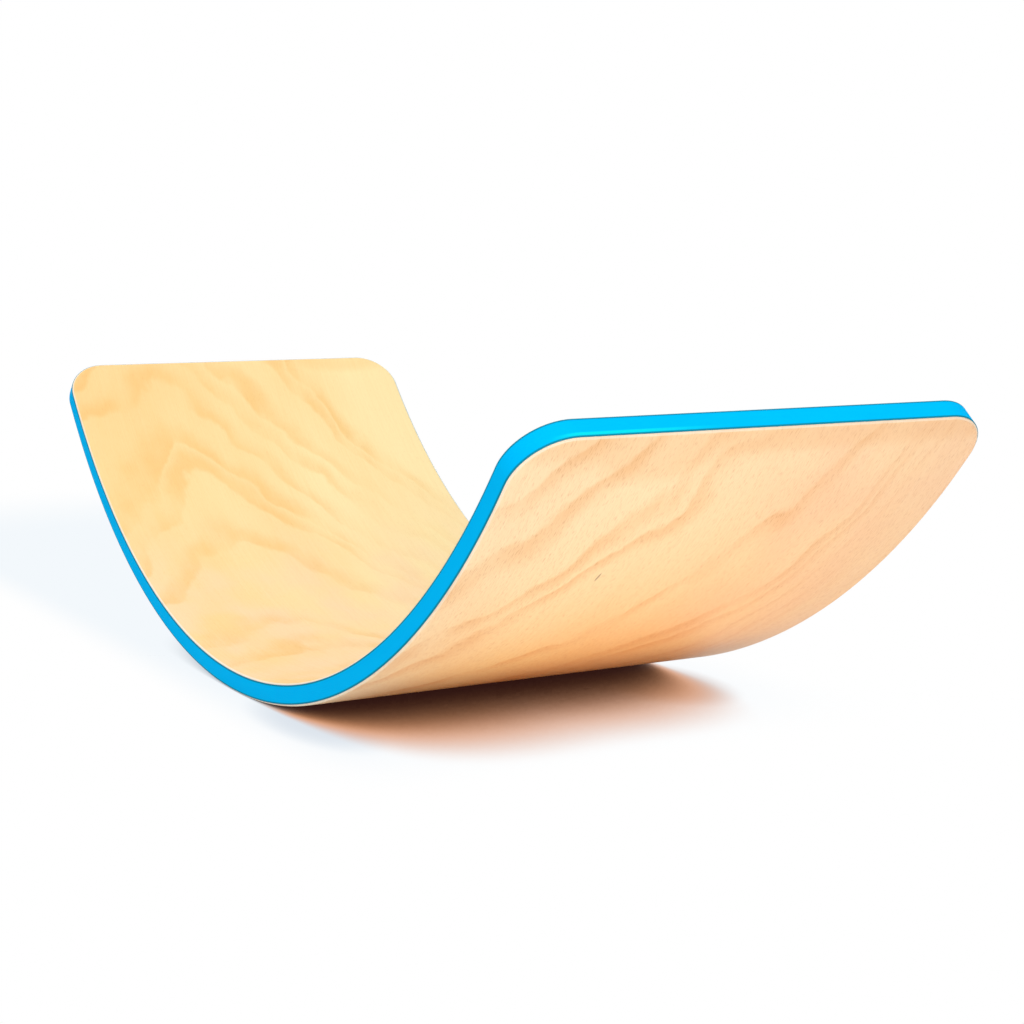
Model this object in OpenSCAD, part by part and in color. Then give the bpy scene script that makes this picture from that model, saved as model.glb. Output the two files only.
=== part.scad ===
// Curvy balance board: beech veneers glued up over a curved former, with a painted edge
// X runs along the board, Y across it and Z up, and z = 0 is the lowest line of the underside

/* [Board] */
// Width of the wood across the board
board_w = 300; // [200:1:400]
// Radius of the bend on the hollow upper side
inner_r = 500; // [350:1:800]
// Angle of the bend from the lowest line up to each end
bend_half_angle = 48; // [30:0.5:60]
// Length of the straight stretch past the bend at each end
end_flat = 39; // [36:1:120]
// Radius of the four corners, seen on the flat of the end
corner_r = 31.5; // [10:0.5:35]
// Radius worked along the edges of both faces
arris_r = 2; // [1.5:0.1:3]

/* [Veneers] */
// Thickness of the upper and lower face veneers
face_ply_t = 1.2; // [0.8:0.1:2]
// Thickness of each veneer in the core
core_ply_t = 1.4; // [1:0.1:2]
// Number of core veneers with the grain along the board, each lying between two crossbands
long_cores = 4; // [2:1:6]

/* [Edge paint] */
// Thickness of the coats of paint
paint_t = 0.3; // [0.2:0.05:0.5]
// Depth of the bare strip left below each face
bare_edge = 1.3; // [0.8:0.1:2]

/* [Hidden] */
$fn = 180;
crossbands = long_cores + 1;
core_plies = long_cores + crossbands;
board_t = 2 * face_ply_t + core_plies * core_ply_t;
outer_r = inner_r + board_t;
// Each half of the bend runs past the middle by this angle, so that the halves share a stretch there
past_middle = 2;
// Cutting shapes stand out from what they cut by this much
cut_out = 1;
face_beech = [0.98, 0.86, 0.66];
cross_beech = [0.80, 0.63, 0.44];
core_beech = [0.90, 0.75, 0.55];
edge_blue = [0.01, 0.70, 0.97];

// Sections through the edge: x runs outwards from the board's middle line, or from the centre of a round
// corner, to the edge at reach, and y runs up through the board from the underside to the upper face

// What is taken off beyond the round arrises of both faces, each round about the arris centre
module beyond_arrises(reach, round_r) {
    for (face = [0, 1])
        translate([0, face * board_t]) mirror([0, face])
            translate([reach - arris_r, arris_r])
                difference() {
                    translate([0, -round_r - cut_out]) square(round_r + cut_out);
                    circle(round_r);
                }
}

// The wood between two depths
module wood_section(reach, bottom, top) {
    difference() {
        translate([0, bottom]) square([reach, top - bottom]);
        beyond_arrises(reach, arris_r);
    }
}

// The coat of paint on the edge of the wood
module paint_section(reach) {
    difference() {
        translate([reach - arris_r, bare_edge]) square([arris_r + paint_t, board_t - 2 * bare_edge]);
        beyond_arrises(reach, arris_r + paint_t);
        wood_section(reach, 0, board_t);
    }
}

module both_sides() {
    children();
    mirror([1, 0]) children();
}

// Paths that carry a section. They are drawn in the frame of one end, with X running out along the flat
// from the end of the bend, Y across the board, and z = 0 on the underside of the flat

module along_bend() {
    translate([0, 0, outer_r]) rotate([90, 0, 0])
        rotate_extrude(angle = bend_half_angle + past_middle, start = -90 - bend_half_angle - past_middle)
            translate([outer_r, 0]) rotate(90) children();
}

module along_flat() {
    rotate([90, 0, 90]) linear_extrude(end_flat - corner_r) children();
}

module round_corners() {
    for (side = [-1, 1])
        translate([end_flat - corner_r, side * (board_w / 2 - corner_r), 0])
            rotate(side > 0 ? 0 : -90) rotate_extrude(angle = 90) children();
}

module along_end() {
    translate([end_flat - corner_r, 0, 0])
        rotate([90, 0, 0]) linear_extrude(board_w - 2 * corner_r, center = true) children();
}

// Both halves of the board: what is drawn in the frame of one end is turned up by the bend
module both_halves() {
    for (turn = [0, 180])
        rotate(turn)
            translate([0, 0, outer_r]) rotate([0, -bend_half_angle, 0]) translate([0, 0, -outer_r])
                children();
}

// One bent sheet of wood between two depths
module veneer(bottom, top) {
    both_halves() {
        along_bend() both_sides() wood_section(board_w / 2, bottom, top);
        along_flat() both_sides() wood_section(board_w / 2, bottom, top);
        round_corners() wood_section(corner_r, bottom, top);
        along_end() wood_section(corner_r, bottom, top);
    }
}

// A veneer of the core, counted from the upper face down
module core_veneer(place) {
    top = board_t - face_ply_t - (place - 1) * core_ply_t;
    veneer(top - core_ply_t, top);
}

module upper_face_veneer() {
    color(face_beech) veneer(board_t - face_ply_t, board_t);
}

// A core veneer with its grain across the board
module crossband(n) {
    color(cross_beech) core_veneer(2 * n - 1);
}

// A core veneer with its grain along the board
module long_core(n) {
    color(core_beech) core_veneer(2 * n);
}

module lower_face_veneer() {
    color(face_beech) veneer(0, face_ply_t);
}

module edge_paint() {
    color(edge_blue)
        both_halves() {
            along_bend() both_sides() paint_section(board_w / 2);
            along_flat() both_sides() paint_section(board_w / 2);
            round_corners() paint_section(corner_r);
            along_end() paint_section(corner_r);
        }
}

upper_face_veneer();
for (n = [1:crossbands])
    crossband(n);
for (n = [1:long_cores])
    long_core(n);
lower_face_veneer();
edge_paint();
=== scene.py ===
"""A curvy balance board: beech veneers bent over a former and glued up, with a painted edge."""
import logging
import math
from dataclasses import dataclass, field, replace
from enum import Enum
from functools import reduce

import bpy
import numpy as np
from mathutils import Matrix, Vector


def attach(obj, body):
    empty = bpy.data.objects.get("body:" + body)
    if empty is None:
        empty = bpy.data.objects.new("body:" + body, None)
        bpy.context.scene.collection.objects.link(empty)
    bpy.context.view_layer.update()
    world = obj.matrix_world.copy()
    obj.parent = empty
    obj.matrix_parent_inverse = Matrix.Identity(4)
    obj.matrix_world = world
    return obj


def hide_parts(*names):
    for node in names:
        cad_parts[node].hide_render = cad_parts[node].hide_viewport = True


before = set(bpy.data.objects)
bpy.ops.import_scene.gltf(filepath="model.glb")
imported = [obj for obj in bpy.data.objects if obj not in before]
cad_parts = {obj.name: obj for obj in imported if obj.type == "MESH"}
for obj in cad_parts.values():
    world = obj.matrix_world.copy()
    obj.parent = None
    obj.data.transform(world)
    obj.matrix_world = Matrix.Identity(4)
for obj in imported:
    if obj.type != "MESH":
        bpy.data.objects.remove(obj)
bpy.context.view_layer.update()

log = logging.getLogger("balance_board")
Array = np.ndarray
Material = bpy.types.Material
Object = bpy.types.Object
Colour = tuple[float, float, float, float]
Span = tuple[float, float, float, float]
Pair = tuple[float, float]
Place = tuple[float, float, float]
Settings = dict[str, object]
Sockets = dict[str | int, object]
MM = 0.001
SHEET_MAP = "flat_sheet"
WHITE = (1.0, 1.0, 1.0, 1.0)


def chip(red: int, green: int, blue: int) -> Colour:
    """Turns a colour as a screen shows it into the linear colour that a shader takes.

    With c from 0 to 1, it is c / 12.92 up to 0.04045 and ((c + 0.055) / 1.055)^2.4 above.

    Args:
        red: Red from 0 to 255.
        green: Green from 0 to 255.
        blue: Blue from 0 to 255.

    Returns:
        Linear red, green and blue, with alpha 1.
    """
    shown = np.array((red, green, blue)) / 255.0
    linear = np.where(shown <= 0.04045, shown / 12.92, ((shown + 0.055) / 1.055) ** 2.4)
    return (*(float(part) for part in linear), 1.0)


class Signal:
    """A socket that stands in Python expressions; each operator adds one Math node."""

    def __init__(self, tree: "Tree", socket: bpy.types.NodeSocket) -> None:
        """Wraps one output socket of a tree."""
        self.tree = tree
        self.socket = socket

    def math(self, operation: str, *values: "Signal | float") -> "Signal":
        """Adds a Math node.

        Args:
            operation: The node's operation.
            values: What goes into its sockets, in order.

        Returns:
            The node's result.
        """
        sockets = dict(enumerate(values))
        return self.tree.signal("ShaderNodeMath", {"operation": operation}, sockets)

    def __add__(self, other: "Signal | float") -> "Signal":
        """This plus other."""
        return self.math("ADD", self, other)

    def __radd__(self, other: float) -> "Signal":
        """Other plus this."""
        return self.math("ADD", other, self)

    def __sub__(self, other: "Signal | float") -> "Signal":
        """This less other."""
        return self.math("SUBTRACT", self, other)

    def __rsub__(self, other: float) -> "Signal":
        """Other less this."""
        return self.math("SUBTRACT", other, self)

    def __mul__(self, other: "Signal | float") -> "Signal":
        """This times other."""
        return self.math("MULTIPLY", self, other)

    def __rmul__(self, other: float) -> "Signal":
        """Other times this."""
        return self.math("MULTIPLY", other, self)

    def __truediv__(self, other: "Signal | float") -> "Signal":
        """This over other."""
        return self.math("DIVIDE", self, other)

    def __abs__(self) -> "Signal":
        """This without its sign."""
        return self.math("ABSOLUTE", self)

    def most(self, other: "Signal | float") -> "Signal":
        """The greater of this and other."""
        return self.math("MAXIMUM", self, other)

    def least(self, other: "Signal | float") -> "Signal":
        """The lesser of this and other."""
        return self.math("MINIMUM", self, other)

    def root(self) -> "Signal":
        """The square root."""
        return self.math("SQRT", self)

    def sine(self) -> "Signal":
        """The sine of an angle in radians."""
        return self.math("SINE", self)

    def over(self, floor: float, bow: float) -> "Signal":
        """How far this is above a floor, 0 below it, with a round turn between.

        With d = this - floor, it is (d + sqrt(d^2 + bow^2)) / 2.

        Args:
            floor: Where it starts to rise.
            bow: How wide the turn is.

        Returns:
            The height above the floor.
        """
        off = self - floor
        return (off + (off * off + bow * bow).root()) * 0.5

    def step(self, low: float, high: float) -> "Signal":
        """Rises smoothly from 0 at low to 1 at high.

        Args:
            low: Where the rise starts.
            high: Where the rise ends; below low it falls instead.

        Returns:
            The eased value.
        """
        settings = {"interpolation_type": "SMOOTHSTEP"}
        ends = (high, low, 1.0, 0.0) if low > high else (low, high, 0.0, 1.0)
        return self.tree.signal("ShaderNodeMapRange", settings, dict(enumerate((self, *ends))))


class Tree:
    """The node tree of a material or the world, filled through one method."""

    def __init__(self, owner: Material | bpy.types.World) -> None:
        """Takes over the owner's tree and empties it."""
        owner.use_nodes = True
        self.nodes = owner.node_tree.nodes
        self.links = owner.node_tree.links
        self.nodes.clear()

    def node(self, kind: str, settings: Settings, sockets: Sockets) -> bpy.types.Node:
        """Adds one node.

        Args:
            kind: The node's type.
            settings: Its properties, set before its sockets.
            sockets: A value or a signal for each socket, by name or place.

        Returns:
            The node.
        """
        made = self.nodes.new(kind)
        for name, value in settings.items():
            setattr(made, name, value)
        for name, value in sockets.items():
            if isinstance(value, Signal):
                self.links.new(value.socket, made.inputs[name])
            else:
                made.inputs[name].default_value = value
        return made

    def signal(self, kind: str, settings: Settings, sockets: Sockets, output: str | int = 0) -> Signal:
        """Adds one node, as node does, and wraps one of its outputs, given by name or place."""
        return Signal(self, self.node(kind, settings, sockets).outputs[output])

    def blend(self, share: Signal | float, low: Signal | Colour, high: Signal | Colour) -> Signal:
        """Mixes two colours.

        Args:
            share: 0 gives low and 1 gives high.
            low: The first colour.
            high: The second colour.

        Returns:
            The mixed colour.
        """
        sockets = {0: share, 6: low, 7: high}
        return self.signal("ShaderNodeMix", {"data_type": "RGBA", "clamp_factor": True}, sockets, 2)

    def parts(self, vector: Signal) -> tuple[Signal, ...]:
        """Takes a vector apart into its three values."""
        split = self.node("ShaderNodeSeparateXYZ", {}, {0: vector})
        return tuple(Signal(self, part) for part in split.outputs)

    def on_sheet(self) -> "Spot":
        """The spot on the flat sheet before it was bent, in millimetres."""
        along, across, _ = self.parts(self.signal("ShaderNodeUVMap", {"uv_map": SHEET_MAP}, {}))
        return Spot(self, along / MM, across / MM)

    def on_floor(self) -> "Spot":
        """The spot on the floor, in metres."""
        along, across, _ = self.parts(self.signal("ShaderNodeTexCoord", {}, {}, "Object"))
        return Spot(self, along, across)

    def seen(self) -> Signal:
        """1 for rays that show a thing itself: from the camera, in gloss and through glass."""
        path = self.node("ShaderNodeLightPath", {}, {})
        names = ("Is Camera Ray", "Is Glossy Ray", "Is Transmission Ray")
        return reduce(Signal.most, [Signal(self, path.outputs[name]) for name in names])

    def lacquer(self, colour: Signal, rough: Signal, bump: Sockets, shine: float) -> None:
        """Gives the material a lacquered surface.

        Args:
            colour: Its colour.
            rough: Its roughness.
            bump: The sockets of its bump.
            shine: Its specular level.
        """
        bumps = self.signal("ShaderNodeBump", {}, bump)
        sockets = {"Base Color": colour, "Roughness": rough, "Normal": bumps, "Specular IOR Level": shine}
        self.finish(self.signal("ShaderNodeBsdfPrincipled", {}, sockets))

    def finish(self, surface: Signal, kind: str = "ShaderNodeOutputMaterial") -> None:
        """Links a shader to the surface of the material or the world."""
        self.node(kind, {}, {"Surface": surface})


@dataclass(frozen=True)
class Spot:
    """The place that a material is asked about.

    Attributes:
        tree: The material's tree.
        along: Where it is along the board, or along the grain.
        across: Where it is across that.
    """

    tree: Tree
    along: Signal
    across: Signal

    def turned(self) -> "Spot":
        """The spot with along and across changed over."""
        return Spot(self.tree, self.across, self.along)

    def within(self, span: Span) -> Signal:
        """How far the spot lies in a part of the sheet or the floor.

        Args:
            span: Where the part starts and is reached along, then where it starts and is reached across.

        Returns:
            0 outside the part, up to 1 in it.
        """
        return self.along.step(span[0], span[1]) * self.across.step(span[2], span[3])


@dataclass(frozen=True)
class Form:
    """The bent form that every piece of the board is laid to, in metres.

    Attributes:
        outer_r: Radius of the underside's bend.
        half_angle: Angle of the bend from the lowest line to each end.
        end_flat: Straight stretch past the bend at each end.
        half_w: Half the width of the wood.
        thickness: Thickness of the board.
        corner_r: Radius of the four corners.
        arris_r: Radius along the edges of both faces.
        bend_rows: Steps along the bend.
        corner_rows: Steps round a corner.
    """

    outer_r: float = 515 * MM
    half_angle: float = math.radians(48)
    end_flat: float = 39 * MM
    half_w: float = 150 * MM
    thickness: float = 15 * MM
    corner_r: float = 31.5 * MM
    arris_r: float = 2 * MM
    bend_rows: int = 240
    corner_rows: int = 24

    @property
    def corner_start(self) -> float:
        """Distance from the middle, along the underside, at which the corners start."""
        return self.outer_r * self.half_angle + self.end_flat - self.corner_r

    def bent(self, along: Array, across: Array, depth: Array | float) -> Array:
        """Points of the bent board.

        The distance along gives an angle, the distance over the outer radius held within the bend. What is
        left over runs on straight. x = (outer_r - depth) sin angle + rest cos angle, y = across, and
        z = outer_r - (outer_r - depth) cos angle + rest sin angle.

        Args:
            along: Distance from the middle, measured on the underside.
            across: Distance from the middle line, positive on the far side.
            depth: Height above the underside, through the board.

        Returns:
            Points, with x, y and z in the last axis.
        """
        angle = np.clip(along / self.outer_r, -self.half_angle, self.half_angle)
        rest = along - angle * self.outer_r
        radius = self.outer_r - depth
        x = radius * np.sin(angle) + rest * np.cos(angle)
        z = self.outer_r - radius * np.cos(angle) + rest * np.sin(angle)
        return np.stack(np.broadcast_arrays(x, across, z), axis=-1)

    def inset(self, depth: Array) -> Array:
        """How far the wood's edge lies inside the plan at a depth.

        It is arris_r - sqrt(arris_r^2 - h^2), where h is how far the depth lies past the centre of the
        nearer arris, and 0 between the two arrises.

        Args:
            depth: Height above the underside, through the board.

        Returns:
            The inset at each depth.
        """
        past = np.maximum(self.arris_r - depth, depth - self.thickness + self.arris_r)
        past = np.clip(past, 0.0, self.arris_r)
        return self.arris_r - np.sqrt(self.arris_r**2 - past**2)

    def rows(self, share: float) -> tuple[Array, Array, Array]:
        """The rows of the plan from the end at low x to the end at high x.

        A row on the straight sides stands at its own distance along. A row in a corner turns by an angle
        about the corner's centre, so it leans out by the angle's sine along and by its cosine across.

        Args:
            share: Share of the full number of steps along the bend.

        Returns:
            The distance along, the sine and the cosine for each row.
        """
        steps = int(self.bend_rows * share)
        start = self.corner_start
        middle = np.linspace(-start, start, steps + 1)
        turn = np.linspace(0.0, math.pi / 2, self.corner_rows + 1)[1:]
        base = np.concatenate((np.full(turn.shape, -start), middle, np.full(turn.shape, start)))
        sine = np.concatenate((-np.sin(turn)[::-1], np.zeros(middle.shape), np.sin(turn)))
        cosine = np.concatenate((np.cos(turn)[::-1], np.ones(middle.shape), np.cos(turn)))
        return base, sine, cosine


@dataclass(frozen=True)
class Oval:
    """A soft oval on a sheet of wood or on the floor.

    Attributes:
        along: Its middle along the board.
        across: Its middle across the board.
        length: Its length.
        width: Its width.
        lean: How far it leans across the board for each unit along it.
        ends: How far out it ends, where its rim counts as 1.
        full: How far out it is full.
    """

    along: float
    across: float
    length: float
    width: float
    lean: float = 0.0
    ends: float = 1.4
    full: float = 0.4

    def holds(self, spot: Spot) -> Signal:
        """How far a spot lies in the oval.

        With u and v the distances along and across it, over half its length and half its width, u^2 + v^2
        is how far out the spot is.

        Args:
            spot: The spot.

        Returns:
            0 outside the oval, up to 1 in it.
        """
        run = spot.along - self.along
        aside = (spot.across - self.across - self.lean * run) / (0.5 * self.width)
        run = run / (0.5 * self.length)
        return (run * run + aside * aside).step(self.ends, self.full)


@dataclass(frozen=True)
class Mottle:
    """Smooth noise laid along the grain or the brush.

    Attributes:
        length: Millimetres of one swell along the grain.
        width: Millimetres of one swell across the grain.
        layer: Where in the noise it is read, so that no two mottles are alike.
        detail: How many finer layers it has.
        rough: How strong the finer layers are.
        low: The value that is eased to 0.
        high: The value that is eased to 1.
    """

    length: float
    width: float
    layer: float = 0.0
    detail: float = 2.0
    rough: float = 0.5
    low: float = -0.7
    high: float = 0.7

    def read(self, spot: Spot) -> Signal:
        """The noise itself, of about -1 to 1, at a spot in millimetres."""
        place = {0: spot.along / self.length, 1: spot.across / self.width, 2: self.layer}
        where = spot.tree.signal("ShaderNodeCombineXYZ", {}, place)
        sockets = {"Vector": where, "Scale": 1.0, "Detail": self.detail, "Roughness": self.rough}
        return spot.tree.signal("ShaderNodeTexNoise", {"normalize": False}, sockets)

    def eased(self, spot: Spot) -> Signal:
        """The noise eased into 0 to 1."""
        return self.read(spot).step(self.low, self.high)


# The form of the board
FORM = Form()

# Spans that hold every place on a sheet, or none
EVERYWHERE = (-3000.0, -2000.0, -3000.0, -2000.0)
NOWHERE = (2000.0, 3000.0, 2000.0, 3000.0)

# How the wood and the paint vary
BROAD_WAVES = Mottle(95.0, 60.0, detail=1.0)
SMALL_WAVES = Mottle(30.0, 20.0, 7.3, rough=0.55)
LINE_FADE = Mottle(70.0, 34.0, 4.4, high=0.5)
TINT_CLOUDS = Mottle(260.0, 90.0, 9.1)
BLUSH = Mottle(60.0, 45.0, 1.7, low=-0.8, high=0.8)
FIBRES = Mottle(60.0, 0.9, 2.6, detail=3.0, rough=0.6, low=-0.9, high=0.9)
RAY_FLECKS = Mottle(4.6, 0.5, 5.8, detail=1.0, low=0.1)
BRUSH_STROKES = Mottle(45.0, 0.8, detail=3.0, rough=0.6)
COAT_CLOUDS = Mottle(30.0, 12.0, 3.3)

# Millimetres of the log's height in the two waves, and the share of them in straight grain
BROAD_SWELL = 34.0
SMALL_SWELL = 8.0
STRAIGHT_SHARE = 0.3

# Chevrons: their points lie at the crest, and a lean is a height per millimetre across
CREST = -66.0
CREST_BOW = 12.0
FAR_LEAN = 1.5
FAR_GROWTH = 0.0016
NEAR_LEAN = 1.1
NEAR_SWING = 0.65
SWING_START = -343.0
SWING_LENGTH = 66.0

# Slants: the lean, and what it gains past a line close to the far side
SLANT_LEAN = 1.6
SIDE_LEAN = 5.5
SIDE_START = 84.0
SIDE_BOW = 10.0

# Shares of the ring lines that stay where they fade and that go where they are calm
FADED_LINE = 0.2
CALMED_LINE = 0.75

# How strongly clouds, darker ovals by the ends, fibres, streaks, and flecks off and on a ring line show
CLOUD_SHARE = 0.5
TONED_SHARE = 0.25
FIBRE_SHARE = 0.1
STREAK_SHARE = 0.6
FLECK_OFF_LINE = 0.85
FLECK_ON_LINE = 1.1

# The paler arris, partly sanded wood and partly a painted highlight, starts and is full this many
# millimetres inside the edge
SANDED_SHEEN_START = 1.3
SANDED_SHEEN_FULL = 0.8

# How far ovals in the wood lean across the grain
OVAL_LEAN = 0.08

STREAK = chip(92, 50, 30)
# Paler arris: sanded bare wood, and a painted highlight where the arris catches light
SANDED_SHEEN = chip(255, 247, 230)


class Figure(Enum):
    """How the growth rings run on a peeled veneer."""

    CHEVRONS = "nested points that open towards the middle of the board"
    SLANTS = "wavy lines that rise towards the far side"
    STRAIGHT = "plain lines along the sheet"


@dataclass(frozen=True)
class Beech:
    """Peeled beech under clear satin lacquer.

    Attributes:
        name: The material's name.
        figure: How the growth rings run.
        pale: The wood between the ring lines.
        warm: The second tint of the wood, in broad clouds.
        rosy: The third tint of the wood, a mottled blush outside the painted lit part, partly random tone
            and partly painted shade.
        line: The ring lines.
        fleck: The short dark ray flecks.
        rings: The log's heights at which a ring line lies, in millimetres.
        strength: How strongly the ring lines show.
        drift: How far the tint leans to warm from the near side to the far side.
        painted_lit_part: Painted light: where the wood is kept pale, without the rosy blush, because more
            light falls there, in millimetres.
        calm: Where the ring lines die away, in millimetres.
        toned: Ovals close to the ends in which the wood is darker, in millimetres.
        streaks: The dark streaks, in millimetres.
        flecked: How strongly the ray flecks show.
        sanded_and_sheen: How much paler the arris is, partly as sanded bare wood and partly as a painted
            highlight where light catches it.
        turned: True where the grain runs across the board.
        soft: Millimetres of height over which a ring line swells.
        crisp: Millimetres of height over which it ends.
    """

    name: str
    figure: Figure
    pale: Colour
    warm: Colour
    rosy: Colour
    line: Colour
    fleck: Colour
    rings: tuple[float, ...]
    strength: float
    drift: float = 0.0
    painted_lit_part: Span = EVERYWHERE
    calm: Span = NOWHERE
    toned: tuple[Oval, ...] = ()
    streaks: tuple[Oval, ...] = ()
    flecked: float = 0.4
    sanded_and_sheen: float = 0.25
    turned: bool = False
    soft: float = 36.0
    crisp: float = 9.0

    def height(self, spot: Spot) -> Signal:
        """The height of the log over the sheet, in millimetres; ring lines are its contours.

        It is the distance along less a lean that grows across the board, plus broad and small waves. On
        chevrons the lean grows to both sides of a crest nearer the near side, and on that side it swings
        along the board. On slants it grows all the way across, and much faster close to the far side.
        Straight grain is the distance across plus a share of the waves.

        Args:
            spot: The spot on the sheet.

        Returns:
            The height.
        """
        along, across = spot.along, spot.across
        waves = BROAD_SWELL * BROAD_WAVES.read(spot) + SMALL_SWELL * SMALL_WAVES.read(spot)
        if self.figure is Figure.CHEVRONS:
            far = across.over(CREST, CREST_BOW)
            near = far - across + CREST
            swing = NEAR_LEAN + NEAR_SWING * ((along - SWING_START) / SWING_LENGTH).sine()
            return along - far * (FAR_LEAN + FAR_GROWTH * far) - swing * near + waves
        if self.figure is Figure.SLANTS:
            return along - SLANT_LEAN * across - SIDE_LEAN * across.over(SIDE_START, SIDE_BOW) + waves
        return across + STRAIGHT_SHARE * waves

    def ring_lines(self, spot: Spot) -> Signal:
        """How strongly a ring line shows: each swells slowly up to its height and ends sharply past it.

        Args:
            spot: The spot on the sheet.

        Returns:
            0 between the lines, up to 1 on one.
        """
        height = self.height(spot)
        lines = [
            height.step(ring - self.soft, ring) * height.step(ring + self.crisp, ring) for ring in self.rings
        ]
        fade = FADED_LINE + (1.0 - FADED_LINE) * LINE_FADE.eased(spot)
        kept = 1.0 - CALMED_LINE * spot.within(self.calm)
        return reduce(Signal.most, lines) * fade * kept

    @staticmethod
    def arris(spot: Spot) -> Signal:
        """How far a spot lies on the arris, which is paler as sanded wood and as a painted highlight.

        With u and v the distances past the middle of the nearest corner, along and across and never below 0,
        sqrt(u^2 + v^2) is the corner's radius on the edge, and the arris is its last stretch.

        Args:
            spot: The spot on the sheet.

        Returns:
            0 on the face, 1 on the arris.
        """
        edge = FORM.corner_r / MM
        past_along = (abs(spot.along) - FORM.corner_start / MM).most(0.0)
        past_across = (abs(spot.across) - (FORM.half_w - FORM.corner_r) / MM).most(0.0)
        out = (past_along * past_along + past_across * past_across).root()
        return out.step(edge - SANDED_SHEEN_START, edge - SANDED_SHEEN_FULL)

    @staticmethod
    def in_ovals(spot: Spot, ovals: tuple[Oval, ...]) -> Signal:
        """How far a spot lies in one of some ovals, from 0 to 1."""
        return reduce(Signal.most, [oval.holds(spot) for oval in ovals])

    def make(self) -> Material:
        """Builds the material.

        Returns:
            The material.
        """
        material = bpy.data.materials.new(self.name)
        tree = Tree(material)
        spot = tree.on_sheet()
        # Paler arris: partly sanded wood, partly painted highlight
        bared_and_sheen = self.arris(spot) * self.sanded_and_sheen
        if self.turned:
            spot = spot.turned()
        lines = self.ring_lines(spot) * self.strength
        clouds = CLOUD_SHARE * TINT_CLOUDS.eased(spot) + 0.5 * (1.0 - CLOUD_SHARE)
        clouds = clouds + 0.5 * self.drift / (FORM.half_w / MM) * spot.across
        # Painted light and shade: the rosy blush is kept off the part where more light falls
        blush_and_shade = BLUSH.eased(spot) * (1.0 - spot.within(self.painted_lit_part))
        fibres = FIBRES.read(spot)
        flecks = RAY_FLECKS.eased(spot)
        colour = tree.blend(clouds, self.pale, self.warm)
        colour = tree.blend(blush_and_shade, colour, self.rosy)
        if self.toned:
            # Darker ovals close to the ends of the face
            colour = tree.blend(self.in_ovals(spot, self.toned) * TONED_SHARE, colour, self.line)
        colour = tree.blend(lines, colour, self.line)
        colour = tree.blend(fibres.step(FIBRES.low, FIBRES.high) * FIBRE_SHARE, colour, self.line)
        fleck_share = self.flecked * (FLECK_OFF_LINE + FLECK_ON_LINE * lines)
        colour = tree.blend(flecks * fleck_share, colour, self.fleck)
        # Painted highlight on the arris, with the sanded wood's paler colour
        colour = tree.blend(bared_and_sheen, colour, SANDED_SHEEN)
        if self.streaks:
            colour = tree.blend(self.in_ovals(spot, self.streaks) * STREAK_SHARE, colour, STREAK)
        rough = 0.44 + 0.06 * fibres + 0.10 * flecks
        relief = 0.6 * fibres - 1.2 * flecks - 0.5 * lines
        bump = {"Strength": 0.12, "Distance": 0.3 * MM, "Height": relief}
        tree.lacquer(colour, rough, bump, shine=0.3)
        return material


@dataclass(frozen=True)
class SatinPaint:
    """Brushed satin lacquer paint on the edge.

    Attributes:
        name: The material's name.
        body: The paint where it lies full.
        thin: The paint where it lies thinner.
        rim: The darker paint at the two borders, partly paint run up against the masked borders and partly
            painted shade on the rounded arris.
        painted_highlight: A painted highlight in light cyan on the rounded arris beside the lower border of
            one end.
        borders: Depths of the two borders, in millimetres.
        highlight_run: Millimetres round the edge where the painted highlight starts, is full, thins and
            ends.
        rim_width: Width of each rim, in millimetres.
    """

    name: str
    body: Colour
    thin: Colour
    rim: Colour
    painted_highlight: Colour
    borders: Pair
    highlight_run: Span = (956.0, 976.0, 1004.0, 1072.0)
    rim_width: float = 1.0

    def make(self) -> Material:
        """Builds the material; a rim fades out about its width, and the painted highlight lies past the
        lower rim.

        Returns:
            The material.
        """
        material = bpy.data.materials.new(self.name)
        tree = Tree(material)
        spot = tree.on_sheet()
        along, depth = spot.along, spot.across
        strokes = BRUSH_STROKES.read(spot)
        clouds = COAT_CLOUDS.read(spot)
        low, high = self.borders
        inner, outer = 0.5 * self.rim_width, 1.5 * self.rim_width
        highlight_full, highlight_end = 2.5 * self.rim_width, 3.5 * self.rim_width
        # Darker rims at both borders: partly paint built up at the masking, partly painted shade on the
        # arris
        rims_and_shade = depth.step(low + outer, low + inner) + depth.step(high - outer, high - inner)
        # Painted highlight: light cyan on the lower arris of one end, where light catches it
        start, full, thins, end = self.highlight_run
        highlighted = along.step(start, full) * along.step(end, thins)
        highlighted = highlighted * depth.step(low + inner, low + outer) * depth.step(low + highlight_end, low + highlight_full)
        colour = tree.blend(0.5 + 0.3 * clouds + 0.15 * strokes, self.body, self.thin)
        colour = tree.blend(rims_and_shade, colour, self.rim)
        colour = tree.blend(highlighted, colour, self.painted_highlight)
        bump = {"Strength": 0.1, "Distance": 0.2 * MM, "Height": strokes}
        tree.lacquer(colour, 0.48 + 0.05 * strokes, bump, shine=0.002)
        return material


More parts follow.
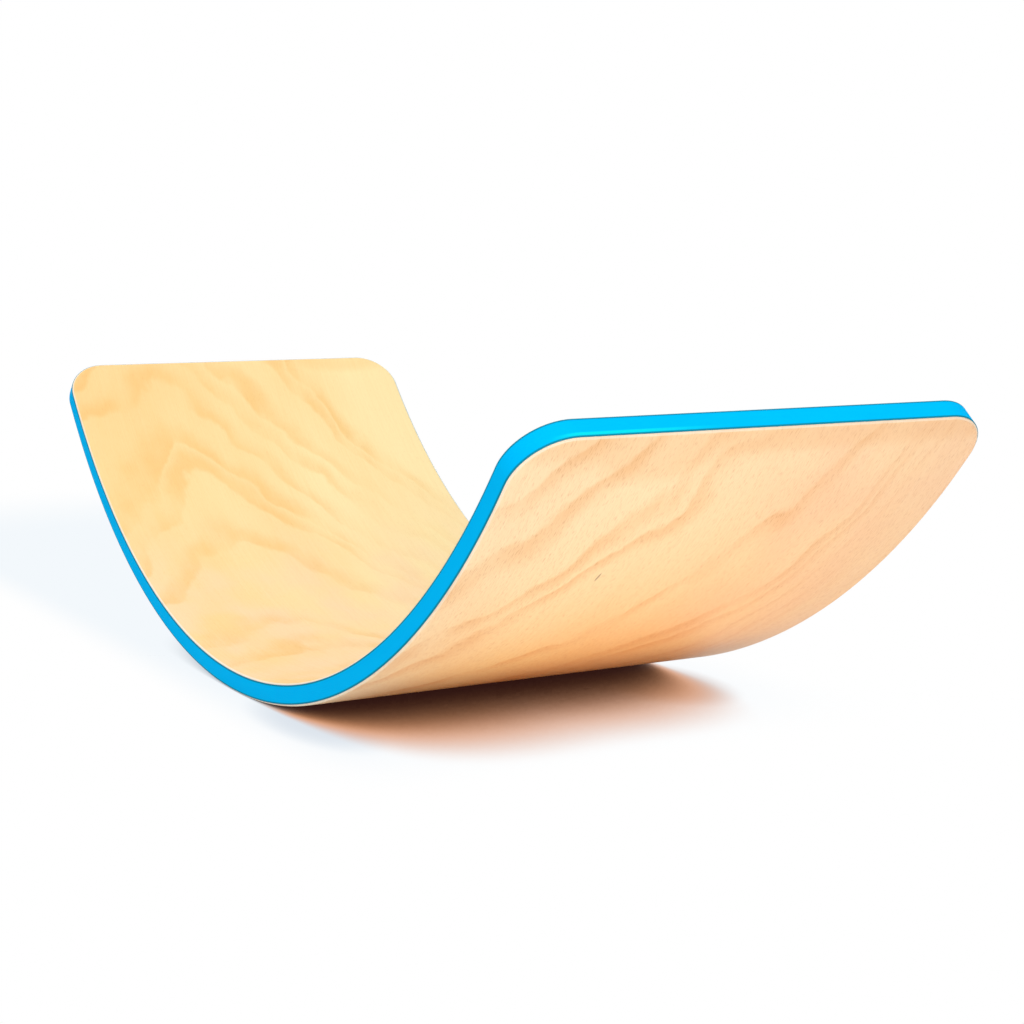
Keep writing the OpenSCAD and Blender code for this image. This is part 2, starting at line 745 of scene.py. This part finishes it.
@dataclass
class Grid:
    """Rows and columns of the plan, and the ring of points round it.

    Attributes:
        form: The bent form.
        share: Share of the full number of steps along the bend.
        columns: Steps across the board.
        beside: Share of the half width at which the columns next to the sides stand.
        base: Distance along of each row.
        sine: Lean of each row along.
        cosine: Lean of each row across.
        swing: Share of the half width of each column.
        ring_row: Row of each point of the ring.
        ring_column: Column of each point of the ring.
    """

    form: Form
    share: float
    columns: int
    beside: float = 0.997
    base: Array = field(init=False)
    sine: Array = field(init=False)
    cosine: Array = field(init=False)
    swing: Array = field(init=False)
    ring_row: Array = field(init=False)
    ring_column: Array = field(init=False)

    def __post_init__(self) -> None:
        """Lays out the rows, the columns with one close to each side, and the ring."""
        self.base, self.sine, self.cosine = self.form.rows(self.share)
        inner = np.linspace(-self.beside, self.beside, self.columns - 1)
        self.swing = np.concatenate(((-1.0,), inner, (1.0,)))
        last_row, last_column = self.base.size - 1, self.swing.size - 1
        up, over = np.arange(last_row), np.arange(last_column)
        self.ring_row = np.concatenate(
            (up, np.full(over.shape, last_row), last_row - up, np.zeros_like(over))
        )
        self.ring_column = np.concatenate(
            (np.zeros_like(up), over, np.full(up.shape, last_column), last_column - over)
        )

    def flat(self, row: Array, column: Array, inset: Array | float) -> Array:
        """Places on the flat sheet.

        With r = corner_r - inset, along = base + r sine, and across = swing (half_w - corner_r + r cosine).

        Args:
            row: The row of each place.
            column: The column of each place.
            inset: How far the sheet's edge lies inside the plan.

        Returns:
            Distances along and across, in the last axis.
        """
        form = self.form
        round_r = form.corner_r - inset
        along = self.base[row] + round_r * self.sine[row]
        half = form.half_w - form.corner_r + round_r * self.cosine[row]
        return np.stack(np.broadcast_arrays(along, self.swing[column] * half), axis=-1)


# Faces that meet at more than this angle keep a sharp edge between them
SHARP = math.radians(40)


def stand(name: str, data: bpy.types.ID) -> Object:
    """Makes an object and puts it in the scene."""
    made = bpy.data.objects.new(name, data)
    bpy.context.collection.objects.link(made)
    return made


def put_in(name: str, points: Array, quads: Array, flat: Array, finish: Material) -> Object:
    """Makes a smooth-shaded object of quads, turned outwards.

    Six times the enclosed volume is the sum, over the two triangles of each quad, of a . (b x c). Where it
    comes out below 0, every quad is turned round.

    Args:
        name: The object's name.
        points: Its points.
        quads: Four point numbers for each face.
        flat: The place of each face corner on the flat sheet.
        finish: Its material.

    Returns:
        The object, in the scene.
    """
    triangles = np.concatenate((quads[:, (0, 1, 2)], quads[:, (0, 2, 3)]))
    first, second, third = (points[triangles[:, corner]] for corner in range(3))
    if np.einsum("ij,ij->", first, np.cross(second, third)) < 0.0:
        quads, flat = quads[:, ::-1], flat[:, ::-1]
    mesh = bpy.data.meshes.new(name)
    mesh.vertices.add(len(points))
    mesh.vertices.foreach_set("co", points.ravel())
    mesh.loops.add(quads.size)
    mesh.loops.foreach_set("vertex_index", quads.ravel())
    mesh.polygons.add(len(quads))
    mesh.polygons.foreach_set("loop_start", np.arange(0, quads.size, 4))
    sheet_map = mesh.uv_layers.new(name=SHEET_MAP)
    mesh.update(calc_edges=True)
    mesh.validate()
    sheet_map.uv.foreach_set("vector", np.ascontiguousarray(flat, dtype=np.float32).ravel())
    mesh.shade_smooth()
    mesh.set_sharp_from_angle(angle=SHARP)
    mesh.materials.append(finish)
    return stand(name, mesh)


@dataclass
class Veneer:
    """One bent sheet of wood.

    Attributes:
        name: The piece's name.
        node: The CAD node that it stands for.
        slot: The name of the slot for its finish; not used.
        bottom: Depth of its lower side.
        top: Depth of its upper side.
        finish: Its finish.
        share: Share of the full number of steps along the bend.
        columns: Steps across the board.
        arris_rings: Rings round an arris.
    """

    name: str
    node: str
    slot: str
    bottom: float
    top: float
    finish: Material
    share: float = 0.5
    columns: int = 8
    arris_rings: int = 15

    def depths(self, form: Form) -> Array:
        """The depths at which the sheet's edge has a ring, close together round an arris.

        In an arris the depth is arris_r (1 - cos angle) from the face, for even steps of the angle.

        Args:
            form: The bent form.

        Returns:
            The depths, from the sheet's lower side to its upper side.
        """
        bow = form.arris_r * (1.0 - np.cos(np.linspace(0.0, math.pi / 2, self.arris_rings)))
        every = np.concatenate(((self.bottom, self.top), bow, form.thickness - bow))
        return np.unique(np.round(every[(every >= self.bottom) & (every <= self.top)], decimals=7))

    def build(self, form: Form) -> Object:
        """Builds the sheet: a grid of places on each side, and rings of places between their rims.

        Args:
            form: The bent form.

        Returns:
            The piece.
        """
        grid = Grid(form, self.share, self.columns)
        depths = self.depths(form)
        insets = form.inset(depths)
        row, column = np.meshgrid(np.arange(grid.base.size), np.arange(grid.swing.size), indexing="ij")
        lower = grid.flat(row, column, insets[0]).reshape(-1, 2)
        upper = grid.flat(row, column, insets[-1]).reshape(-1, 2)
        rings = grid.flat(grid.ring_row, grid.ring_column, insets[1:-1, None]).reshape(-1, 2)
        ring_size = grid.ring_row.size
        flat = np.concatenate((lower, upper, rings))
        ends = np.repeat(depths[[0, -1]], len(lower))
        depth = np.concatenate((ends, np.repeat(depths[1:-1], ring_size)))
        points = form.bent(flat[:, 0], flat[:, 1], depth)
        number = row * grid.swing.size + column
        cells = np.stack((number[:-1, :-1], number[1:, :-1], number[1:, 1:], number[:-1, 1:]), axis=-1)
        cells = cells.reshape(-1, 4)
        rim = number[grid.ring_row, grid.ring_column]
        between = 2 * number.size + np.arange(rings.shape[0]).reshape(-1, ring_size)
        bands = np.concatenate((rim[None], between, number.size + rim[None]))
        ahead = np.roll(bands, -1, axis=1)
        sides = np.stack((bands[:-1], ahead[:-1], ahead[1:], bands[1:]), axis=-1).reshape(-1, 4)
        quads = np.concatenate((cells[:, ::-1], number.size + cells, sides))
        return put_in(self.name, points, quads, flat[quads], self.finish)

    def dress(self, piece: Object) -> None:
        """Puts the piece on the root body and hides the CAD node that it stands for."""
        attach(piece, "root")
        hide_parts(self.node)


@dataclass
class EdgePaint:
    """The coat of paint round the edge.

    Attributes:
        finish: Its finish.
        coat: Thickness of the coat.
        bare: Depth of the strip left bare below each face.
        columns: Steps across the board.
        arris_rings: Points round an arris.
    """

    finish: Material
    coat: float = 0.3 * MM
    bare: float = 1.3 * MM
    columns: int = 24
    arris_rings: int = 9

    def section(self, form: Form) -> tuple[Array, Array]:
        """The closed section of the coat, upwards outside and back down on the wood.

        Outside it follows circles of radius arris_r + coat about the arris centres and a straight line
        between them; inside it follows the wood.

        Args:
            form: The bent form.

        Returns:
            The inset and the depth of each point.
        """
        outer_r = form.arris_r + self.coat
        start = math.asin((self.bare - form.arris_r) / outer_r)
        turn = np.linspace(start, 0.0, self.arris_rings)
        low_inset = form.arris_r - outer_r * np.cos(turn)
        low_depth = form.arris_r + outer_r * np.sin(turn)
        out_inset = np.concatenate((low_inset, low_inset[::-1]))
        out_depth = np.concatenate((low_depth, (form.thickness - low_depth)[::-1]))
        in_depth = np.concatenate((form.thickness - low_depth, low_depth[::-1]))
        return np.concatenate((out_inset, form.inset(in_depth))), np.concatenate((out_depth, in_depth))

    def build(self, form: Form) -> Object:
        """Carries the section round the plan and joins its two ends.

        Args:
            form: The bent form.

        Returns:
            The piece.
        """
        grid = Grid(form, share=1.0, columns=self.columns)
        inset, depth = self.section(form)
        flat = grid.flat(grid.ring_row[:, None], grid.ring_column[:, None], inset[None, :])
        along, across = flat[..., 0], flat[..., 1]
        low = np.broadcast_to(depth, along.shape)
        points = form.bent(along, across, low)
        number = np.arange(along.size).reshape(along.shape)
        ahead, above = np.roll(number, -1, axis=0), np.roll(number, -1, axis=1)
        both = np.roll(ahead, -1, axis=1)
        quads = np.stack((number, ahead, both, above), axis=-1).reshape(-1, 4)
        run = np.linalg.norm(np.diff(points[:, 0], axis=0, append=points[:1, 0]), axis=1)
        mark = np.concatenate(((0.0,), np.cumsum(run)))
        start = np.broadcast_to(mark[:-1, None], along.shape)
        end = np.broadcast_to(mark[1:, None], along.shape)
        high = np.roll(low, -1, axis=1)
        corners = ((start, low), (end, low), (end, high), (start, high))
        strip = np.stack([np.stack(corner, axis=-1) for corner in corners], axis=-2)
        return put_in("painted_edge", points.reshape(-1, 3), quads, strip.reshape(-1, 4, 2), self.finish)

    def dress(self, piece: Object) -> None:
        """Puts the piece on the root body and hides the CAD node that it stands for."""
        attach(piece, "root")
        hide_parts("edge_paint")


UPPER_BEECH = Beech(
    name="beech_upper_face",
    figure=Figure.CHEVRONS,
    pale=chip(250, 229, 171),
    warm=chip(250, 211, 144),
    rosy=chip(250, 216, 170),
    line=chip(240, 186, 100),
    fleck=chip(196, 138, 80),
    rings=(
        -651, -622, -540, -500, -446, -389, -356, -281, -126, -69, 20, 64, 150, 182, 265, 330, 410, 452,
    ),
    strength=0.55,
    drift=-1.1,
    # Painted light: the face stays pale towards the end at low x
    painted_lit_part=(-120.0, -330.0, -3000.0, -2000.0),
    calm=(-370.0, -260.0, -10.0, 60.0),
    toned=(Oval(-474.0, 105.0, 40.0, 110.0, OVAL_LEAN),),
    flecked=0.1,
    sanded_and_sheen=0.7,
)
LOWER_BEECH = Beech(
    name="beech_lower_face",
    figure=Figure.SLANTS,
    pale=chip(251, 231, 196),
    warm=chip(249, 212, 171),
    rosy=chip(248, 212, 177),
    line=chip(228, 170, 110),
    fleck=chip(190, 122, 72),
    rings=(
        641, 587, 508, 465, 340, 203, 165, 75, -40, -112, -190, -236, -330, -420, -475, -560, -640, -760,
    ),
    strength=0.45,
    drift=0.8,
    # Painted light: pale on the near side towards the end at high x
    painted_lit_part=(-20.0, 140.0, 70.0, -30.0),
    calm=(-3000.0, -2000.0, 50.0, 130.0),
    toned=(Oval(474.0, 0.0, 44.0, 600.0, OVAL_LEAN), Oval(462.0, -66.0, 56.0, 84.0, OVAL_LEAN)),
    streaks=(Oval(351.0, -59.0, 8.5, 1.3, OVAL_LEAN),),
    flecked=0.31,
    sanded_and_sheen=0.45,
)
LONG_BEECH = Beech(
    name="beech_long_core",
    figure=Figure.STRAIGHT,
    pale=chip(240, 204, 156),
    warm=chip(234, 194, 146),
    rosy=chip(236, 196, 152),
    line=chip(214, 164, 112),
    fleck=chip(176, 118, 72),
    rings=tuple(range(-140, 150, 24)),
    strength=0.8,
)
CROSS_BEECH = replace(LONG_BEECH, name="beech_crossband", rings=tuple(range(-460, 470, 46)), turned=True)
BLUE_PAINT = SatinPaint(
    name="blue_edge_paint",
    body=chip(0, 188, 254),
    thin=chip(0, 195, 255),
    # Partly paint built up at the masked borders, partly painted shade on the arris
    rim=chip(18, 136, 164),
    # Painted highlight on the lower arris of one end
    painted_highlight=chip(13, 222, 234),
    borders=(EdgePaint.bare / MM, (FORM.thickness - EdgePaint.bare) / MM),
)


@dataclass
class Board:
    """The whole board: two face veneers, the core between them and the painted edge.

    Attributes:
        form: The bent form.
        face_t: Thickness of each face veneer.
        core_t: Thickness of each core veneer.
        long_cores: Core veneers with the grain along the board.
    """

    form: Form = FORM
    face_t: float = 1.2 * MM
    core_t: float = 1.4 * MM
    long_cores: int = 4

    def face(self, side: str, bottom: float, wood: Beech) -> Veneer:
        """One of the two veneers that show.

        Args:
            side: The side that it is on, upper or lower.
            bottom: Depth of its lower side.
            wood: Its wood.

        Returns:
            The veneer.
        """
        top = bottom + self.face_t
        name, node = f"{side}_face_sheet", f"{side}_face_veneer"
        return Veneer(name, node, "face_beech", bottom, top, wood.make(), share=1.0, columns=24)

    def core(self) -> list[Veneer]:
        """The veneers between the faces, from the top down, crossbands first and last."""
        crossband = ("crossband", "cross_beech", CROSS_BEECH.make())
        long_core = ("long_core", "core_beech", LONG_BEECH.make())
        sheets = []
        for place in range(2 * self.long_cores + 1):
            top = self.form.thickness - self.face_t - place * self.core_t
            count = place // 2 + 1
            kind, slot, wood = long_core if place % 2 else crossband
            name, node = f"{kind}_sheet_{count}", f"{kind}_{count}"
            sheets.append(Veneer(name, node, slot, top - self.core_t, top, wood))
        return sheets

    def build(self) -> bpy.types.Collection:
        """Builds and dresses every piece.

        Returns:
            A collection of the pieces.
        """
        pieces = bpy.data.collections.new("board_pieces")
        upper = self.face("upper", self.form.thickness - self.face_t, UPPER_BEECH)
        lower = self.face("lower", 0.0, LOWER_BEECH)
        for part in (upper, lower, *self.core(), EdgePaint(BLUE_PAINT.make())):
            piece = part.build(self.form)
            part.dress(piece)
            pieces.objects.link(piece)
            log.info("%s: %d faces", piece.name, len(piece.data.polygons))
        return pieces


@dataclass
class Softbox:
    """One soft lamp that looks at the board.

    Attributes:
        name: The lamp's name.
        place: Where it hangs.
        size: Its width and height.
        power: Its power in watts.
        tint: Its colour.
        target: What it looks at.
    """

    name: str
    place: Place
    size: Pair
    power: float
    tint: Place
    target: Place = (0.0, 0.0, 0.1)

    def hang(self, only: bpy.types.Collection | None = None) -> None:
        """Makes the lamp and turns it to its target.

        Args:
            only: The pieces that it lights, or None where it lights everything.
        """
        lamp = bpy.data.lights.new(self.name, "AREA")
        lamp.shape = "RECTANGLE"
        lamp.size, lamp.size_y = self.size
        lamp.energy = self.power
        lamp.color = self.tint
        holder = stand(self.name, lamp)
        holder.location = self.place
        holder.visible_camera = False
        holder.light_linking.receiver_collection = only
        sight = Vector(self.target) - Vector(self.place)
        holder.rotation_euler = sight.to_track_quat("-Z", "Y").to_euler()


@dataclass(frozen=True)
class WhiteFloor:
    """A white floor, plain and pale to the light; to the eye it shines white and keeps the board's shadow.

    The shadow follows how much open sky a place has. Places, spans and ovals are in metres.

    Attributes:
        name: The material's name.
        plain: What the floor throws back.
        wooden: What it throws back under the board, where light has come off the wood.
        under: The part under the board.
        cool: The long pale shade under and behind the board.
        cool_start: Where the cool shade starts.
        cool_end: Where it ends.
        shade_patches: Painted shade at the near side's edge and at the far side's edge.
        dark: The shade where the board touches the floor.
        warm_half: Half shade in front of the touch.
        cool_half: Half shade behind the touch.
        turn: Distances along at which half shade is warm and is cool.
        reach: How far off the board takes sky from the floor.
        rays: Rays that look for sky.
        dark_sky: Shares of open sky in the dark and in half shade.
        open_sky: Shares of open sky where the shade starts to end and has ended.
        lean: How much sky counts as lost for each metre to the near side.
        shaded: The part that holds all the shade.
    """

    name: str = "white_floor"
    plain: Colour = (0.88, 0.86, 0.83, 1.0)
    wooden: Colour = (1.0, 0.56, 0.1, 1.0)
    under: Oval = Oval(0.0, 0.0, 0.64, 0.26, ends=1.7)
    cool: Colour = chip(243, 248, 252)
    cool_start: Span = (-1.4, -0.9, -0.195, -0.145)
    cool_end: Span = (0.3, 0.1, 0.22, 0.08)
    shade_patches: tuple[tuple[Oval, Colour], ...] = (
        (Oval(0.11, -0.14, 0.2, 0.07, ends=1.0, full=0.0), chip(222, 229, 237)),
        (Oval(0.11, 0.11, 0.2, 0.1, ends=1.0, full=0.0), chip(206, 182, 172)),
    )
    dark: Colour = chip(42, 16, 13)
    warm_half: Colour = chip(222, 155, 110)
    cool_half: Colour = chip(198, 206, 212)
    turn: Pair = (0.09, 0.02)
    reach: float = 0.12
    rays: int = 64
    dark_sky: Pair = (0.013, 0.2)
    open_sky: Pair = (0.05, 0.415)
    lean: float = 0.35
    shaded: Oval = Oval(0.0, 0.0, 0.64, 0.36, ends=6.4, full=5.4)

    def open_floor(self, spot: Spot) -> Signal:
        """The colour of the floor outside the shadow: white with a faint painted long shade and painted
        shade patches.

        Args:
            spot: The spot on the floor.

        Returns:
            The colour.
        """
        blend = spot.tree.blend
        colour = blend(spot.within(self.cool_start) * spot.within(self.cool_end), WHITE, self.cool)
        # Painted shadow patches beside the near and far edges of the board
        for part, tint in self.shade_patches:
            colour = blend(part.holds(spot), colour, tint)
        return colour

    def shadow(self, spot: Spot, open_floor: Signal) -> Signal:
        """The colour close to the board: dark at the touch, then half shade, then open floor.

        Args:
            spot: The spot on the floor.
            open_floor: The colour outside the shadow.

        Returns:
            The colour.
        """
        blend = spot.tree.blend
        settings, sockets = {"samples": self.rays}, {"Distance": self.reach}
        sky = spot.tree.signal("ShaderNodeAmbientOcclusion", settings, sockets, "AO")
        half = blend(spot.along.step(*self.turn), self.warm_half, self.cool_half)
        shade = blend(sky.step(*self.dark_sky), self.dark, half)
        leaning_sky = sky + self.lean * spot.across.least(0.0)
        return blend(leaning_sky.step(*self.open_sky), shade, open_floor)

    def make(self) -> Material:
        """Builds the material.

        Returns:
            The material.
        """
        material = bpy.data.materials.new(self.name)
        tree = Tree(material)
        spot = tree.on_floor()
        thrown = tree.blend(self.under.holds(spot), self.plain, self.wooden)
        bounce = tree.signal("ShaderNodeBsdfDiffuse", {}, {"Color": thrown})
        open_floor = self.open_floor(spot)
        white = tree.signal("ShaderNodeEmission", {}, {"Color": open_floor})
        shaded = tree.signal("ShaderNodeEmission", {}, {"Color": self.shadow(spot, open_floor)})
        shown = tree.signal("ShaderNodeMixShader", {}, {0: self.shaded.holds(spot), 1: white, 2: shaded})
        tree.finish(tree.signal("ShaderNodeMixShader", {}, {0: tree.seen(), 1: bounce, 2: shown}))
        return material


# The camera's sensor in millimetres, and half the floor's width in metres
SENSOR = 36.0
FLOOR_HALF = 30.0


@dataclass
class Studio:
    """The white floor and surround, the lamps and the camera.

    Attributes:
        eye: Where the camera stands.
        yaw: Its turn from straight along the board's width, to the right.
        pitch: Its tilt, below the level where negative.
        roll: Its turn about its own line of sight.
        focal: Its focal length over the picture's width.
        glow: Brightness of the surround as a light.
        glow_lean: How that grows to the right, to the back and upwards.
        cool_sky: The surround's tint as a light on the near side.
        cool_turn: How far back a light comes from where it is white and where it is cool.
    """

    eye: Place = (1.19987, -0.58923, 0.27522)
    yaw: float = -1.07182
    pitch: float = -0.12047
    roll: float = -0.00981
    focal: float = 1890.72 / 1024.0
    glow: float = 0.32
    glow_lean: Place = (-0.06, -0.10, 0.54)
    cool_sky: Colour = (0.8, 0.87, 1.0, 1.0)
    cool_turn: Pair = (0.3, -0.8)

    def stand_camera(self) -> None:
        """Sets up the camera from its place and its three angles.

        It looks along (sin yaw cos pitch, cos yaw cos pitch, sin pitch). Its right is level before the roll.
        """
        level_ahead = Vector((math.sin(self.yaw), math.cos(self.yaw), 0.0))
        ahead = level_ahead * math.cos(self.pitch) + Vector((0.0, 0.0, math.sin(self.pitch)))
        level = Vector((math.cos(self.yaw), -math.sin(self.yaw), 0.0))
        upright = level.cross(ahead)
        right = level * math.cos(self.roll) + upright * math.sin(self.roll)
        up = upright * math.cos(self.roll) - level * math.sin(self.roll)
        view = bpy.data.cameras.new("photo_view")
        view.sensor_width = SENSOR
        view.lens = SENSOR * self.focal
        view.clip_start, view.clip_end = 0.01, 100.0
        holder = stand("photo_view", view)
        turned = Matrix((right, up, -ahead)).transposed().to_4x4()
        holder.matrix_world = Matrix.Translation(self.eye) @ turned
        bpy.context.scene.camera = holder

    def light_surround(self) -> None:
        """Makes the surround white to the eye and a soft light to the board, brighter from above."""
        world = bpy.data.worlds.new("white_surround")
        bpy.context.scene.world = world
        tree = Tree(world)
        right, back, up = tree.parts(tree.signal("ShaderNodeTexCoord", {}, {}, "Generated"))
        to_right, to_back, upwards = self.glow_lean
        glow = self.glow + to_right * right + to_back * back + upwards * up
        tint = tree.blend(back.step(*self.cool_turn), WHITE, self.cool_sky)
        soft = tree.signal("ShaderNodeBackground", {}, {"Color": tint, "Strength": glow})
        white = tree.signal("ShaderNodeBackground", {}, {"Color": WHITE, "Strength": 1.0})
        both = tree.signal("ShaderNodeMixShader", {}, {0: tree.seen(), 1: soft, 2: white})
        tree.finish(both, "ShaderNodeOutputWorld")

    @staticmethod
    def lay_floor() -> None:
        """Lays the broad white floor."""
        span = np.linspace(-FLOOR_HALF, FLOOR_HALF, 2)
        x, y = np.meshgrid(span, span, indexing="ij")
        points = np.stack((x, y, np.zeros_like(x)), axis=-1).reshape(-1, 3)
        mesh = bpy.data.meshes.new("studio_floor")
        mesh.from_pydata(points.tolist(), [], [(0, 2, 3, 1)])
        mesh.materials.append(WhiteFloor().make())
        floor = stand("studio_floor", mesh)

    @staticmethod
    def hang_lamps(pieces: bpy.types.Collection) -> None:
        """Hangs the lamps.

        Args:
            pieces: The board's pieces, which two of the lamps light alone, to spare the shadow.
        """
        overhead = Softbox(
            "overhead_softbox", place=(-0.4, 0.0, 2.2), size=(1.6, 1.6), power=21.5,
            tint=(1.0, 0.97, 0.94),
        )
        camera_side = Softbox(
            "camera_side_softbox", place=(1.9, -0.7, 0.42), size=(1.2, 0.4), power=14.8,
            tint=(1.0, 0.955, 0.9),
        )
        reflector = Softbox(
            "floor_reflector", place=(0.42, 0.0, 0.008), size=(0.4, 0.28), power=0.16,
            tint=(1.0, 0.66, 0.14), target=(0.42, 0.0, 0.2),
        )
        overhead.hang()
        camera_side.hang(pieces)
        reflector.hang(pieces)

    def build(self, pieces: bpy.types.Collection) -> None:
        """Sets up the camera, the surround, the floor and the lamps.

        Args:
            pieces: The board's pieces.
        """
        self.stand_camera()
        self.light_surround()
        self.lay_floor()
        self.hang_lamps(pieces)
        bpy.context.scene.view_settings.view_transform = "Standard"


def main() -> None:
    """Builds the board and the studio."""
    logging.basicConfig(level=logging.INFO, format="%(name)s: %(message)s")
    pieces = Board().build()
    Studio().build(pieces)


if __name__ == "__main__":
    main()
